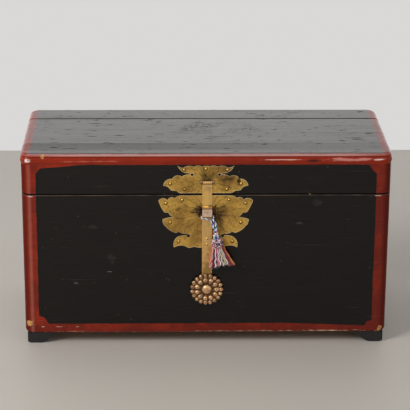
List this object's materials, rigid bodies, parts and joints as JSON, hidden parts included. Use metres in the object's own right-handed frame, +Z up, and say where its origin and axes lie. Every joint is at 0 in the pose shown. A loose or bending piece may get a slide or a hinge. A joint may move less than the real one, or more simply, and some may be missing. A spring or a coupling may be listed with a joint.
{
  "type": "wedding chest",
  "caption": "Lacquered blanket chest with a hinged lid, bracket feet, butterfly lock plates and a swinging hasp with a rosette and silk tassel.",
  "frame": {"origin": "on the floor under the middle of the chest's box, tassel left out", "axes": "+X to the chest's right as seen from the front, +Y towards its back, +Z up"},
  "size_m": [0.7536, 0.3628, 0.413],
  "materials": {
    "lacquer": "gloss red and black lacquer",
    "foot_lacquer": "satin black lacquer",
    "bare_wood": "bare planed wood",
    "brass": "aged engraved brass",
    "strap_brass": "rubbed brass",
    "nail_brass": "domed brass",
    "rosette_bronze": "reddish cast bronze",
    "pin_iron": "dark drawn wire",
    "cord_silk": "twisted white, blue and navy silk",
    "tassel_silk": "floss in pink, crimson and plum"
  },
  "bodies": {
    "carcase": {"carcase_front": "lacquer", "carcase_back": "lacquer", "carcase_left_end": "lacquer", "carcase_right_end": "lacquer", "bottom_plank_front": "bare_wood", "bottom_plank_back": "bare_wood", "foot_front_left": "foot_lacquer", "foot_front_right": "foot_lacquer", "foot_back_left": "foot_lacquer", "foot_back_right": "foot_lacquer", "front_plate": "brass", "front_plate_nails": "nail_brass", "lock_lug_left": "brass", "lock_lug_right": "brass", "hinge_leaf_carcase_left": "brass", "hinge_leaf_carcase_right": "brass", "carcase_hinge_nails": "nail_brass", "hinge_pin_left": "pin_iron", "hinge_pin_right": "pin_iron"},
    "lid": {"lid_front": "lacquer", "lid_back": "lacquer", "lid_left_end": "lacquer", "lid_right_end": "lacquer", "lid_top_plank_front": "lacquer", "lid_top_plank_middle": "lacquer", "lid_top_plank_back": "lacquer", "lid_plate": "brass", "lid_plate_nails": "nail_brass", "hasp_eye_left": "brass", "hasp_eye_right": "brass", "hasp_pin": "pin_iron", "hinge_leaf_lid_left": "brass", "hinge_leaf_lid_right": "brass", "lid_hinge_nails": "nail_brass"},
    "hasp": {"hasp_strap": "strap_brass", "strap_rivets": "nail_brass", "rosette": "rosette_bronze", "rosette_boss": "rosette_bronze"},
    "tassel": {"tassel_cord": "cord_silk", "tassel_head": "tassel_silk", "tassel_skirt": "tassel_silk"}
  },
  "joints": [
    {"name": "lid_hinge", "type": "hinge", "parent": "carcase", "child": "lid", "pos_m": [0, 0.17153, 0.328], "axis": [-1, 0, 0], "range_deg": [0, 105]},
    {"name": "hasp_swing", "type": "hinge", "parent": "lid", "child": "hasp", "pos_m": [0.0015, -0.16767, 0.354], "axis": [-1, 0, 0], "range_deg": [0, 165]},
    {"name": "tassel_swing", "type": "hinge", "parent": "hasp", "child": "tassel", "pos_m": [0.0015, -0.16867, 0.2846], "axis": [-1, 0, 0], "range_deg": [0, 60]}
  ]
}
